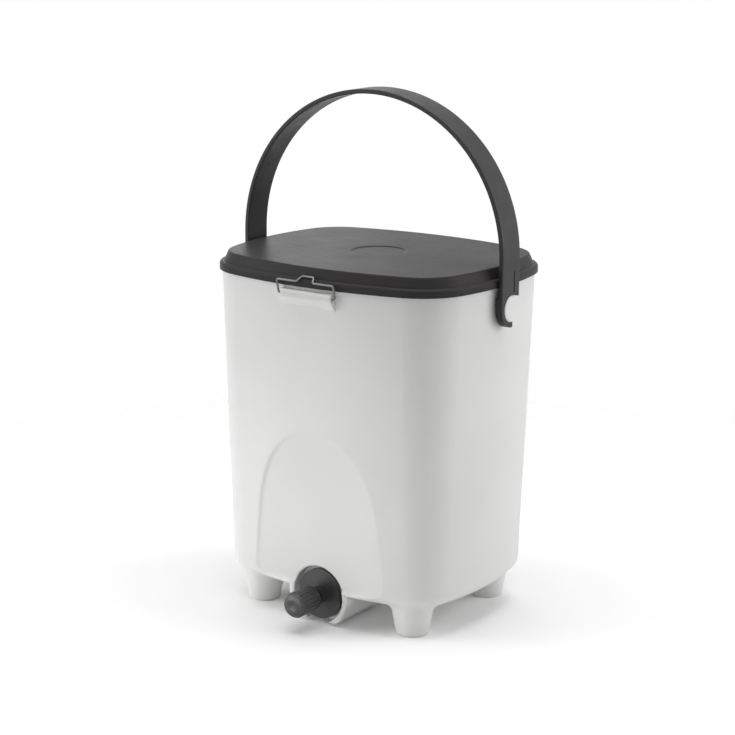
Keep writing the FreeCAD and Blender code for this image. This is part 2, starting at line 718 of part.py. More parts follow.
def make_handle():
    body = new_body("handle")
    strap = new_sketch(body, "strap_outline", "XZ_Plane", "strap_front")
    outer = value("strap_outer")
    inner = value("strap_inner")
    rise = value("arch_centre_height")
    foot = value("pivot_height - hook_outer")
    corners = [FreeCAD.Vector(x, z, 0) for x, z in
               ((outer, rise), (-outer, rise), (-outer, foot), (-inner, foot),
                (-inner, rise), (inner, rise), (inner, foot), (outer, foot))]
    pieces = [
        arc(0, rise, outer, 0, math.pi),
        Part.LineSegment(corners[1], corners[2]),
        Part.LineSegment(corners[2], corners[3]),
        Part.LineSegment(corners[3], corners[4]),
        arc(0, rise, inner, 0, math.pi),
        Part.LineSegment(corners[5], corners[6]),
        Part.LineSegment(corners[6], corners[7]),
        Part.LineSegment(corners[7], corners[0]),
    ]
    for piece in pieces:
        strap.addGeometry(piece, False)
    joints = [(0, 2, 1, 1), (1, 2, 2, 1), (2, 2, 3, 1), (3, 2, 4, 2),
              (4, 1, 5, 1), (5, 2, 6, 1), (6, 2, 7, 1), (7, 2, 0, 1)]
    for joint in joints:
        strap.addConstraint(Sketcher.Constraint("Coincident", *joint))
    for arched, radius in ((0, "strap_outer"), (4, "strap_inner")):
        place_point(strap, arched, 3, "0", "arch_centre_height")
        set_radius(strap, arched, radius)
    for leg in (1, 3, 5, 7):
        strap.addConstraint(Sketcher.Constraint("Vertical", leg))
    for end in (2, 6):
        strap.addConstraint(Sketcher.Constraint("Horizontal", end))
        index = strap.addConstraint(Sketcher.Constraint("DistanceY", -1, 1, end, 1, foot))
        name_and_bind(strap, index, "pivot_height - hook_outer")
    for arched in (0, 4):
        strap.addConstraint(Sketcher.Constraint("Horizontal", arched, 1, arched, 3))
        strap.addConstraint(Sketcher.Constraint("Horizontal", arched, 2, arched, 3))
    extrude(body, "Pad", "strap", strap, "strap_front + strap_rear", True)
    middle = value("(strap_front - strap_rear) / 2")
    half = value("(strap_front + strap_rear) / 2")
    round_edges(body, "strap_edge_round", "strap_round",
                lambda edge: abs(abs(edge.BoundBox.Center.y + middle) - half) < NEAR
                and edge.BoundBox.ZLength > 1)

    pad = new_sketch(body, "hook_pad_outline", "YZ_Plane", "hook_inner_reach")
    rise = "pivot_height + sqrt((skirt_bottom - hook_swing_gap - pivot_height)^2 - strap_front^2)"
    draw_polygon(pad, [("-strap_front", "pivot_height - hook_outer"),
                       ("strap_rear", "pivot_height - hook_outer"),
                       ("strap_rear", rise), ("-strap_front", rise)])
    thick = extrude(body, "Pad", "hook_pad", pad, "strap_half_span - hook_inner_reach")
    other = body.newObject("PartDesign::Mirrored", "hook_pad_left")
    other.Originals = [thick]
    other.MirrorPlane = (origin_plane(body, "YZ_Plane"), [""])
    body.Tip = other
    doc.recompute()

    hook = new_sketch(body, "hook_cut", "YZ_Plane", "-boss_reach")
    draw_hook_cut(hook)
    cut(body, "hooks", hook, "2 * boss_reach", True)

    for side, turned in (("", False), ("-", True)):
        label = "right" if side == "" else "left"
        groove = new_sketch(body, f"groove_{label}", "YZ_Plane", f"{side}strap_outer")
        near = "groove_offset - groove_width / 2"
        far = "groove_offset + groove_width / 2"
        draw_polygon(groove, [(near, "groove_bottom"), (far, "groove_bottom"),
                              (far, "groove_top"), (near, "groove_top")])
        cut(body, f"leg_groove_{label}", groove, "groove_depth", turned)
    return body


def draw_hook_cut(sketch):
    # What is taken off the leg's foot to leave a hook round the boss, open to the rear
    bore = value("hook_bore")
    ring = value("hook_outer")
    level = value("pivot_height")
    mouth = value("hook_mouth_rise")
    rear = value("strap_rear")
    lip = value("hook_lip_end")
    beyond = 2 * ring
    touch = math.atan2(mouth, rear) + math.acos(bore / math.hypot(mouth, rear))
    lip_in = math.acos(lip / bore)
    lip_out = math.acos(lip / ring)
    spot = FreeCAD.Vector
    top = spot(bore * math.cos(touch), level + bore * math.sin(touch), 0)
    tip_in = spot(lip, level - bore * math.sin(lip_in), 0)
    tip_out = spot(lip, level - ring * math.sin(lip_out), 0)
    front = spot(-ring, level, 0)
    outline = [spot(-beyond, level, 0), spot(-beyond, level - beyond, 0), spot(beyond, level - beyond, 0),
               spot(beyond, level + mouth, 0), spot(rear, level + mouth, 0)]
    pieces = [
        arc(0, level, bore, touch, 2 * math.pi - lip_in),
        Part.LineSegment(tip_in, tip_out),
        arc(0, level, ring, math.pi, 2 * math.pi - lip_out),
        Part.LineSegment(front, outline[0]),
        Part.LineSegment(outline[0], outline[1]),
        Part.LineSegment(outline[1], outline[2]),
        Part.LineSegment(outline[2], outline[3]),
        Part.LineSegment(outline[3], outline[4]),
        Part.LineSegment(outline[4], top),
    ]
    for piece in pieces:
        sketch.addGeometry(piece, False)
    joints = [(0, 2, 1, 1), (1, 2, 2, 2), (2, 1, 3, 1), (3, 2, 4, 1), (4, 2, 5, 1),
              (5, 2, 6, 1), (6, 2, 7, 1), (7, 2, 8, 1)]
    for joint in joints:
        sketch.addConstraint(Sketcher.Constraint("Coincident", *joint))
    sketch.addConstraint(Sketcher.Constraint("Tangent", 8, 2, 0, 1))
    for arched, radius in ((0, "hook_bore"), (2, "hook_outer")):
        place_point(sketch, arched, 3, "0", "pivot_height")
        set_radius(sketch, arched, radius)
    sketch.addConstraint(Sketcher.Constraint("Vertical", 1))
    index = sketch.addConstraint(Sketcher.Constraint("DistanceX", -1, 1, 1, 1, lip))
    name_and_bind(sketch, index, "hook_lip_end")
    sketch.addConstraint(Sketcher.Constraint("Horizontal", 2, 1, 2, 3))
    place_point(sketch, 4, 1, "-2 * hook_outer", "pivot_height")
    place_point(sketch, 5, 1, "-2 * hook_outer", "pivot_height - 2 * hook_outer")
    place_point(sketch, 6, 1, "2 * hook_outer", "pivot_height - 2 * hook_outer")
    place_point(sketch, 7, 1, "2 * hook_outer", "pivot_height + hook_mouth_rise")
    place_point(sketch, 8, 1, "strap_rear", "pivot_height + hook_mouth_rise")


def rounded_path(points, radius):
    # Straight runs joined by arcs that touch both runs
    edges = []
    here = points[0]
    for before, corner, after in zip(points, points[1:], points[2:]):
        back = (before - corner).normalize()
        ahead = (after - corner).normalize()
        half = back.getAngle(ahead) / 2
        reach = radius / math.tan(half)
        start = corner + back * reach
        end = corner + ahead * reach
        middle = (back + ahead).normalize()
        bow = corner + middle * (radius / math.sin(half) - radius)
        edges.append(Part.LineSegment(here, start).toShape())
        edges.append(Part.Arc(start, bow, end).toShape())
        here = end
    edges.append(Part.LineSegment(here, points[-1]).toShape())
    return edges


def make_latch(name, turned):
    # A bent wire: tails in the lug, two legs, two runs along the skirt and a loop over the ledge
    reach = -value("latch_pivot_reach")
    level = value("latch_pivot_height")
    run_reach = -value("wire_run_reach")
    run_level = value("wire_run_height")
    half = value("wire_half_width")
    tail = value("wire_half_width - wire_tail")
    loop = value("loop_half_width")
    crest = value("loop_half_width - loop_draw_in")
    lean = math.radians(value("loop_lean"))
    up = FreeCAD.Vector(0, math.sin(lean), math.cos(lean))
    run = FreeCAD.Vector(0, run_reach, run_level)
    side = FreeCAD.Vector(1, 0, 0)
    right = [FreeCAD.Vector(tail, reach, level), FreeCAD.Vector(half, reach, level),
             FreeCAD.Vector(half, run_reach, run_level), run + side * loop,
             run + side * crest + up * value("loop_height")]
    left = [FreeCAD.Vector(-p.x, p.y, p.z) for p in reversed(right)]
    spine = Part.Wire(rounded_path(right + left, value("wire_bend")))
    section = Part.Wire(Part.Circle(right[0], side, value("wire_radius")).toShape())
    wire = doc.addObject("Part::Feature", name)
    wire.Shape = spine.makePipeShell([section], True, False)
    if turned:
        wire.Placement = FreeCAD.Placement(FreeCAD.Vector(), FreeCAD.Rotation(FreeCAD.Vector(0, 0, 1), 180))
    expected = math.pi * value("wire_radius") ** 2 * spine.Length
    print(f"{name}: length {spine.Length:.1f} mm, volume {wire.Shape.Volume:.1f} of {expected:.1f} mm3")
    return wire


def make_tap_body():
    bore = "spindle_radius + spindle_clearance"
    seat = "flange_face - flange_thickness"
    body = along_tap("tap_body", [
        ("barrel_end", bore), ("barrel_end", "barrel_radius"),
        (seat, "barrel_radius"), (seat, "flange_radius"),
        ("flange_face", "flange_radius"), ("flange_face", "barrel_radius"),
        ("flange_face + collar_length", "barrel_radius"), ("flange_face + collar_length", bore)])
    turn = FreeCAD.Rotation(FreeCAD.Vector(0, 0, 1), value("flange_flat_turn"))
    flats = new_sketch(body, "flange_flats", "XZ_Plane", "flange_face", turn)
    bind(flats, "AttachmentOffset.Base.y", "tap_axis_height")
    bind(flats, "AttachmentOffset.Rotation.Angle", "flange_flat_turn")
    for side in ("", "-"):
        near = f"{side}flange_flats"
        far = f"{side}2 * flange_radius"
        draw_polygon(flats, [(near, "-flange_radius"), (far, "-flange_radius"),
                             (far, "flange_radius"), (near, "flange_radius")])
    cut(body, "wrench_flats", flats, "flange_thickness")
    outlet = new_sketch(body, "outlet_circle", "XY_Plane", "tap_axis_height")
    draw_circle(outlet, "0", "-(flange_face + port_reach)", "port_radius")
    cut(body, "outlet", outlet, "2 * barrel_radius")
    return body


def make_tap_gasket():
    return along_tap("tap_gasket", [
        ("socket_floor", "hole_radius"), ("socket_floor", "gasket_radius"),
        ("socket_floor + gasket_thickness", "gasket_radius"),
        ("socket_floor + gasket_thickness", "hole_radius")])


def make_tap_washer():
    return along_tap("tap_inner_washer", [
        ("wall_back - washer_thickness", "hole_radius"), ("wall_back - washer_thickness", "washer_radius"),
        ("wall_back", "washer_radius"), ("wall_back", "hole_radius")])


def make_lock_nut():
    hexagon = doc.addObject("Part::Prism", "nut_hexagon")
    hexagon.Polygon = 6
    thread = doc.addObject("Part::Cylinder", "nut_thread")
    facing = FreeCAD.Rotation(FreeCAD.Vector(1, 0, 0), 90)
    bind(hexagon, "Circumradius", "nut_radius")
    bind(thread, "Radius", "barrel_radius + nut_seat")
    for piece in (hexagon, thread):
        bind(piece, "Height", "nut_thickness")
        piece.Placement = FreeCAD.Placement(FreeCAD.Vector(), facing)
        bind(piece, "Placement.Base.y", "-(wall_back - washer_thickness - nut_thickness)")
        bind(piece, "Placement.Base.z", "tap_axis_height")
    return subtract("tap_lock_nut", hexagon, thread)


RING_PLACES = ("flange_face + collar_length - ring_setback", "flange_face - flange_thickness")


def make_spindle():
    shaft = "spindle_radius"
    end = "barrel_end - clip_gap - clip_thickness - spindle_tail"
    clip_low = "barrel_end - clip_gap - clip_thickness - clip_gap / 2"
    clip_high = "barrel_end - clip_gap / 2"
    neck = "spindle_radius - clip_groove_depth"
    profile = [(end, "spindle_bore"), (end, shaft), (clip_low, shaft), (clip_low, neck),
               (clip_high, neck), (clip_high, shaft)]
    seat = "spindle_radius - 2 * ring_section - ring_seat"
    for place in reversed(RING_PLACES):
        low = f"{place} - ring_section - ring_seat"
        high = f"{place} + ring_section + ring_seat"
        profile += [(low, shaft), (low, seat), (high, seat), (high, shaft)]
    head = "knob_back + knob_socket - knob_fit"
    blind = "flange_face + port_reach + bore_past_port"
    profile += [(head, shaft), (head, "0"), (blind, "0"), (blind, "spindle_bore")]
    body = along_tap("tap_spindle", profile)
    port = new_sketch(body, "port_circle", "YZ_Plane")
    draw_circle(port, "-(flange_face + port_reach)", "tap_axis_height", "port_radius")
    cut(body, "port", port, "2 * spindle_radius", True)
    return body


def make_o_rings():
    rings = []
    for number, place in enumerate(RING_PLACES, 1):
        ring = doc.addObject("Part::Torus", f"o_ring_{number}")
        bind(ring, "Radius1", "spindle_radius - ring_section")
        bind(ring, "Radius2", "ring_section")
        ring.Placement = FreeCAD.Placement(FreeCAD.Vector(), FreeCAD.Rotation(FreeCAD.Vector(1, 0, 0), 90))
        bind(ring, "Placement.Base.y", f"-({place})")
        bind(ring, "Placement.Base.z", "tap_axis_height")
        rings.append(ring)
    pair = doc.addObject("Part::Compound", "spindle_o_rings")
    pair.Links = rings
    doc.recompute()
    return pair


def make_spindle_clip():
    inner = "spindle_radius - clip_groove_depth + ring_seat"
    low = "barrel_end - clip_gap - clip_thickness"
    high = "barrel_end - clip_gap"
    return along_tap("spindle_clip", [
        (low, inner), (low, "clip_radius"), (high, "clip_radius"), (high, inner)])


def make_knob():
    socket = "spindle_radius + knob_fit"
    floor = "knob_back + knob_socket"
    shoulder = "knob_front - knob_dome"
    body = along_tap("tap_knob", [
        ("knob_back", socket), ("knob_back", "knob_radius - knob_groove_radius"),
        ("knob_back + knob_groove_radius", "knob_radius"), (shoulder, "knob_radius"),
        ("knob_front - knob_nose_length", "knob_radius - knob_nose_drop"),
        ("knob_front", "knob_radius - knob_face_drop"), ("knob_front", "knob_dimple_radius"),
        ("knob_front - knob_dimple_depth", "0"), (floor, "0"), (floor, socket)])
    groove = new_sketch(body, "grip_groove_circle", "XZ_Plane", "knob_back")
    draw_circle(groove, "0", "tap_axis_height + knob_radius + knob_groove_rise", "knob_groove_radius")
    one = cut(body, "grip_groove", groove, "knob_length", True)
    turned = body.newObject("PartDesign::PolarPattern", "grip_grooves")
    turned.Originals = [one]
    profile = body.getObject("tap_knob_profile")
    turned.Axis = (profile, ["H_Axis"])
    turned.Angle = 360
    turned.Occurrences = int(value("knob_groove_count"))
    bind(turned, "Occurrences", "knob_groove_count")
    body.Tip = turned
    doc.recompute()
    return body


def make_grate():
    body = new_body("drain_grate")
    inset = "tub_inset + tub_wall + (rim_level - grate_level) * tan(tub_taper) + grate_clearance"
    plate = new_sketch(body, "plate_outline", "XY_Plane", "grate_level")
    draw_outline(plate, inset)
    extrude(body, "Pad", "plate", plate, "grate_thickness")
    front = "-(wall_back - grate_clearance)"
    side = "arch_half_width - panel_sink * tan(panel_draft) + tub_wall / cos(panel_draft) + grate_clearance"
    notch = new_sketch(body, "front_notch", "XY_Plane", "grate_level + grate_thickness")
    draw_polygon(notch, [(f"-({side})", "-lid_half_depth"), (side, "-lid_half_depth"),
                         (side, front), (f"-({side})", front)])
    cut(body, "panel_notch", notch, "grate_thickness")
    legs = new_sketch(body, "leg_circles", "XY_Plane", "floor_level")
    draw_at_corners(legs, "grate_leg_spread_x", "grate_leg_spread_y", "grate_leg_radius")
    extrude(body, "Pad", "legs", legs, "grate_height")
    hole = new_sketch(body, "drain_hole_circle", "XY_Plane", "grate_level + grate_thickness")
    draw_circle(hole, "-grate_pitch_x * (grate_columns - 1) / 2",
                "grate_hole_shift - grate_pitch_y * (grate_rows - 1) / 2", "grate_hole_radius")
    one = cut(body, "drain_hole", hole, "grate_thickness")
    many = body.newObject("PartDesign::MultiTransform", "drain_holes")
    many.Originals = [one]
    patterns = []
    for axis, pitch, count in (("X_Axis", "grate_pitch_x", "grate_columns"),
                               ("Y_Axis", "grate_pitch_y", "grate_rows")):
        pattern = body.newObject("PartDesign::LinearPattern", f"holes_along_{axis[0].lower()}")
        pattern.Direction = (origin_plane(body, axis), [""])
        pattern.Length = value(f"{pitch} * ({count} - 1)")
        bind(pattern, "Length", f"{pitch} * ({count} - 1)")
        pattern.Occurrences = round(value(count))
        bind(pattern, "Occurrences", count)
        patterns.append(pattern)
    many.Transformations = patterns
    body.Tip = many
    doc.recompute()
    return body


PIECES = [
    make_bin_body(),
    make_grate(),
    make_lid(),
    make_lid_seal(),
    make_handle(),
    make_latch("front_latch_wire", False),
    make_latch("rear_latch_wire", True),
    make_tap_body(),
    make_tap_gasket(),
    make_tap_washer(),
    make_lock_nut(),
    make_spindle(),
    make_o_rings(),
    make_spindle_clip(),
    make_knob(),
]
doc.recompute()

for item in doc.Objects:
    if "Invalid" in item.State or "Error" in item.State:
        raise RuntimeError(f"{item.Name} failed: {item.State}")
for piece in PIECES:
    if piece.Shape.isNull() or not piece.Shape.isValid():
        raise RuntimeError(f"{piece.Label} has no valid shape")

os.makedirs("parts", exist_ok=True)
for piece in PIECES:
    piece.Shape.exportStep(os.path.join("parts", f"{piece.Label}.step"))
    print(f"{piece.Label}: {len(piece.Shape.Solids)} solid, {piece.Shape.Volume / 1000:.1f} cm3")
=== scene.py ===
import bpy, math
from mathutils import Matrix, Vector

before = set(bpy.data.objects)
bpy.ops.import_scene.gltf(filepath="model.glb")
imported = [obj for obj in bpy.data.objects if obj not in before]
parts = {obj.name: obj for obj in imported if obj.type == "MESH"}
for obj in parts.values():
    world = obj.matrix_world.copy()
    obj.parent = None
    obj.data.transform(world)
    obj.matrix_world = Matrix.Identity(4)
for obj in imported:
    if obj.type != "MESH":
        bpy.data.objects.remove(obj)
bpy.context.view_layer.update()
print("frame loaded:", len(parts), "pieces")


def linear(hexText):  # sRGB hex to the linear colour that shaders take
    channels = [int(hexText[i:i + 2], 16) / 255 for i in (1, 3, 5)]
    return [c / 12.92 if c <= 0.04045 else ((c + 0.055) / 1.055) ** 2.4 for c in channels] + [1]


def metres(millimetres):
    return millimetres / 1000


def perMetre(millimetres):  # texture scale for a pattern that repeats over this many mm
    return 1000 / millimetres


def add(owner, kind, settings={}, links={}):  # one node: its settings and socket values, and what feeds its sockets
    node = owner.node_tree.nodes.new(kind)
    for name, value in settings.items():
        if isinstance(name, str) and hasattr(node, name):
            setattr(node, name, value)
        else:
            node.inputs[name].default_value = value
    for name, source in links.items():
        owner.node_tree.links.new(source, node.inputs[name])
    return node


def emptied(owner):  # a material or world, ready for its own nodes
    owner.use_nodes = True
    owner.node_tree.nodes.clear()
    return owner


noiseSpread = {"From Min": 0.3, "From Max": 0.7}    # where most of a noise's values lie

# What all the mouldings share. Grain and rubs are finer on the real pieces, and drawn coarser so that they show.
moulding = {
    "flowDetail": 3, "waveDetail": 1, "rubDetail": 2,
    "grainDetail": 2, "grainRoughness": 0.6,
    "rubTilt": (0.2, 0.35),          # radians, so that no rub runs along an edge
    "rubPeaks": {"From Min": 0.56, "From Max": 0.72},    # only the peaks of the noise show as rubs
    "grainStrength": 0.4, "waveStrength": 0.5,
    "bevelSamples": 6,
}


# A moulded plastic: colour that drifts with the melt's flow, the tool's grain, slow waves from
# cooling, and rub marks from use that catch the light
def mouldedPlastic(name, finish):
    m = emptied(bpy.data.materials.new(name))
    place = add(m, "ShaderNodeTexCoord").outputs["Object"]
    flow = add(m, "ShaderNodeTexNoise", {"Scale": perMetre(finish["flowMm"]), "Detail": moulding["flowDetail"]},
               {"Vector": place})
    waves = add(m, "ShaderNodeTexNoise", {"Scale": perMetre(finish["waveMm"]), "Detail": moulding["waveDetail"]},
                {"Vector": place})
    grain = add(m, "ShaderNodeTexNoise", {"Scale": perMetre(finish["grainMm"]), "Detail": moulding["grainDetail"],
                                          "Roughness": moulding["grainRoughness"]}, {"Vector": place})
    stretched = add(m, "ShaderNodeMapping", {"Rotation": (*moulding["rubTilt"], finish["rubTurn"]),
                                             "Scale": [perMetre(size) for size in finish["rubMm"]]},
                    {"Vector": place})
    rubs = add(m, "ShaderNodeTexNoise", {"Scale": 1, "Detail": moulding["rubDetail"]},
               {"Vector": stretched.outputs["Vector"]})
    rubbed = add(m, "ShaderNodeMapRange", {**moulding["rubPeaks"], "To Min": 0, "To Max": finish["rubRough"]},
                 {"Value": rubs.outputs["Fac"]})
    drift = add(m, "ShaderNodeMapRange", noiseSpread, {"Value": flow.outputs["Fac"]})
    # a Mix node's sockets 6 and 7 are its two colours, and its output 2 is the mixed one
    tint = add(m, "ShaderNodeMix", {"data_type": "RGBA", 6: linear(finish["colour"]),
                                    7: linear(finish["flowColour"])}, {0: drift.outputs["Result"]})
    polish = add(m, "ShaderNodeMapRange", {**noiseSpread, "To Min": finish["roughness"][0],
                                           "To Max": finish["roughness"][1]}, {"Value": waves.outputs["Fac"]})
    rough = add(m, "ShaderNodeMath", {"operation": "ADD"}, {0: polish.outputs["Result"],
                                                            1: rubbed.outputs["Result"]})
    edges = add(m, "ShaderNodeBevel", {"samples": moulding["bevelSamples"], "Radius": metres(finish["edgeMm"])})
    fine = add(m, "ShaderNodeBump", {"Strength": moulding["grainStrength"],
                                     "Distance": metres(finish["grainDeepMm"])},
               {"Height": grain.outputs["Fac"], "Normal": edges.outputs["Normal"]})
    soft = add(m, "ShaderNodeBump", {"Strength": moulding["waveStrength"],
                                     "Distance": metres(finish["waveDeepMm"])},
               {"Height": waves.outputs["Fac"], "Normal": fine.outputs["Normal"]})
    shader = add(m, "ShaderNodeBsdfPrincipled",
                 {"IOR": finish["ior"], "Specular IOR Level": finish["specular"],
                  "Subsurface Weight": finish["milky"], "Subsurface Radius": (1, 1, 1),
                  "Subsurface Scale": metres(finish["milkyMm"])},
                 {"Base Color": tint.outputs[2], "Roughness": rough.outputs[0], "Normal": soft.outputs["Normal"]})
    add(m, "ShaderNodeOutputMaterial", {}, {"Surface": shader.outputs["BSDF"]})
    return m


# White polypropylene, injection moulded against a fine spark-eroded tool: even, softly glossy, faintly wavy walls
tubFinish = {
    "colour": "#ededec", "flowColour": "#e7e7e6", "flowMm": 140,
    "grainMm": 1.1, "grainDeepMm": 0.018,    # the tool's own grain is near 0.2 mm
    "waveMm": 60, "waveDeepMm": 0.12,
    "rubMm": (1.6, 30, 30), "rubTurn": 0.5, "rubRough": 0.05,
    "roughness": (0.36, 0.44), "ior": 1.49, "specular": 0.5, "edgeMm": 2.5,
    "milky": 0.8, "milkyMm": 4.0,    # light that soaks into the wall and softens its edges
}
whitePolypropylene = mouldedPlastic("white polypropylene, moulded with a spark grain", tubFinish)

# The sunk panel runs out softly into the wall, wider than the tub's other edges do
panelEdge = {
    "edgeMm": 8,
    "tapMm": 29,    # height of the tap's axis, which the panel stands round
    # each pair goes from none of that softness to all of it: away from the tap's axis, back from beyond the panel,
    # up from the feet, and towards the front
    "nearMm": (50, 68), "farMm": (220, 190), "aboveMm": (38, 52), "frontMm": (-80, -86),
}


def softenPanel(m, soft, otherEdgeMm):
    place = add(m, "ShaderNodeTexCoord").outputs["Object"]
    axes = add(m, "ShaderNodeSeparateXYZ", {}, {0: place})
    flat = add(m, "ShaderNodeVectorMath", {"operation": "MULTIPLY", 1: (1, 0, 1)}, {0: place})
    fromTap = add(m, "ShaderNodeVectorMath", {"operation": "DISTANCE", 1: (0, 0, metres(soft["tapMm"]))},
                  {0: flat.outputs["Vector"]}).outputs["Value"]
    measures = {"nearMm": fromTap, "farMm": fromTap, "aboveMm": axes.outputs["Z"], "frontMm": axes.outputs["Y"]}
    shares = [add(m, "ShaderNodeMapRange", {"From Min": metres(soft[name][0]), "From Max": metres(soft[name][1])},
                  {"Value": measure}).outputs["Result"] for name, measure in measures.items()]
    zone = shares[0]
    for share in shares[1:]:
        zone = add(m, "ShaderNodeMath", {"operation": "MULTIPLY"}, {0: zone, 1: share}).outputs[0]
    radius = add(m, "ShaderNodeMapRange", {"To Min": metres(otherEdgeMm), "To Max": metres(soft["edgeMm"])},
                 {"Value": zone})
    edges = next(node for node in m.node_tree.nodes if node.bl_idname == "ShaderNodeBevel")
    m.node_tree.links.new(radius.outputs["Result"], edges.inputs["Radius"])


softenPanel(whitePolypropylene, panelEdge, tubFinish["edgeMm"])

# Grey polypropylene, moulded against a polished tool: semi-gloss that mirrors the room at a low angle
lidFinish = {
    "colour": "#3d3b3c", "flowColour": "#3a3839", "flowMm": 90,
    "grainMm": 1.3, "grainDeepMm": 0.012,
    "waveMm": 55, "waveDeepMm": 0.03,
    "rubMm": (14, 1.2, 14), "rubTurn": 0.9, "rubRough": 0.10,
    "roughness": (0.38, 0.42), "ior": 1.49, "edgeMm": 0.8,
    "specular": 0.06,    # low, because the all-white room would wash out the flat top
    "milky": 0, "milkyMm": 1,
}
greyPolypropylene = mouldedPlastic("grey polypropylene, moulded and polished", lidFinish)

# Charcoal polypropylene of the strap: satin from a blasted tool, a little duller where hands rub it
handleFinish = {
    "colour": "#2a2a2a", "flowColour": "#262626", "flowMm": 60,
    "grainMm": 0.9, "grainDeepMm": 0.02,
    "waveMm": 22, "waveDeepMm": 0.06,
    "rubMm": (9, 1.0, 9), "rubTurn": 0.1, "rubRough": 0.08,
    "roughness": (0.38, 0.50), "ior": 1.49, "specular": 0.3, "edgeMm": 0.8,
    "milky": 0, "milkyMm": 1,
}
charcoalPolypropylene = mouldedPlastic("charcoal polypropylene, moulded satin", handleFinish)

# Charcoal ABS of the tap: harder, tighter gloss on edges and ribs
tapFinish = {
    "colour": "#3b3b3b", "flowColour": "#353535", "flowMm": 25,
    "grainMm": 0.7, "grainDeepMm": 0.015,
    "waveMm": 9, "waveDeepMm": 0.03,
    "rubMm": (0.8, 6, 6), "rubTurn": 0.3, "rubRough": 0.10,
    "roughness": (0.30, 0.40), "ior": 1.54, "specular": 0.5, "edgeMm": 0.5,
    "milky": 0, "milkyMm": 1,
}
charcoalAbs = mouldedPlastic("charcoal ABS, moulded satin", tapFinish)

# Natural polypropylene of the grate: milky and plain, with the sheen of an unpainted moulding
grateFinish = {
    "colour": "#e0e0da", "flowColour": "#d6d6cf", "flowMm": 45,
    "grainMm": 1.2, "grainDeepMm": 0.02,
    "waveMm": 18, "waveDeepMm": 0.05,
    "rubMm": (1.2, 16, 16), "rubTurn": 0.7, "rubRough": 0.10,
    "roughness": (0.38, 0.50), "ior": 1.49, "specular": 0.5, "edgeMm": 0.5,
    "milky": 0.5, "milkyMm": 1.5,
}
naturalPolypropylene = mouldedPlastic("natural polypropylene, moulded plain", grateFinish)

# Nitrile rubber, press moulded: dull, slightly dusty
rubberFinish = {
    "colour": "#262626", "flowColour": "#2f2f2e", "flowMm": 18,
    "grainMm": 0.6, "grainDeepMm": 0.03,
    "waveMm": 6, "waveDeepMm": 0.03,
    "rubMm": (4, 0.8, 4), "rubTurn": 0.4, "rubRough": 0.12,
    "roughness": (0.62, 0.76), "ior": 1.52, "specular": 0.4, "edgeMm": 0.3,
    "milky": 0, "milkyMm": 1,
}
nitrileRubber = mouldedPlastic("nitrile rubber, press moulded", rubberFinish)

wireFinish = {
    "colour": "#7e7e7c", "dullColour": "#646462",
    "dieMm": (0.5, 0.5, 12),    # die marks are hair fine, drawn coarser so that they show
    "dieDetail": 3, "dieDeepMm": 0.02, "dieStrength": 0.3,
    "roughness": (0.30, 0.46),
}


# Spring steel, drawn and zinc plated: bright grey with die marks along the wire and duller patches
def platedWire(finish):
    m = emptied(bpy.data.materials.new("spring steel wire, drawn and zinc plated"))
    place = add(m, "ShaderNodeTexCoord").outputs["Object"]
    along = add(m, "ShaderNodeMapping", {"Scale": [perMetre(size) for size in finish["dieMm"]]}, {"Vector": place})
    marks = add(m, "ShaderNodeTexNoise", {"Scale": 1, "Detail": finish["dieDetail"]},
                {"Vector": along.outputs["Vector"]})
    tint = add(m, "ShaderNodeMix", {"data_type": "RGBA", 6: linear(finish["colour"]),
                                    7: linear(finish["dullColour"])}, {0: marks.outputs["Fac"]})
    rough = add(m, "ShaderNodeMapRange", {**noiseSpread, "To Min": finish["roughness"][0],
                                          "To Max": finish["roughness"][1]}, {"Value": marks.outputs["Fac"]})
    bump = add(m, "ShaderNodeBump", {"Strength": finish["dieStrength"], "Distance": metres(finish["dieDeepMm"])},
               {"Height": marks.outputs["Fac"]})
    shader = add(m, "ShaderNodeBsdfPrincipled", {"Metallic": 1},
                 {"Base Color": tint.outputs[2], "Roughness": rough.outputs["Result"],
                  "Normal": bump.outputs["Normal"]})
    add(m, "ShaderNodeOutputMaterial", {}, {"Surface": shader.outputs["BSDF"]})
    return m


zincWire = platedWire(wireFinish)

finishes = {
    "bin_body": whitePolypropylene,
    "drain_grate": naturalPolypropylene,
    "lid": greyPolypropylene,
    "lid_seal": nitrileRubber,
    "handle": charcoalPolypropylene,
    "front_latch_wire": zincWire,
    "rear_latch_wire": zincWire,
    "tap_body": charcoalAbs,
    "tap_gasket": nitrileRubber,
    "tap_inner_washer": nitrileRubber,
    "tap_lock_nut": charcoalAbs,
    "tap_spindle": charcoalAbs,
    "spindle_o_rings": nitrileRubber,
    "spindle_clip": zincWire,
    "tap_knob": charcoalAbs,
}
for name, material in finishes.items():
    slots = parts[name].data.materials
    slots.clear()
    slots.append(material)
print("finishes given to", len(finishes), "pieces")

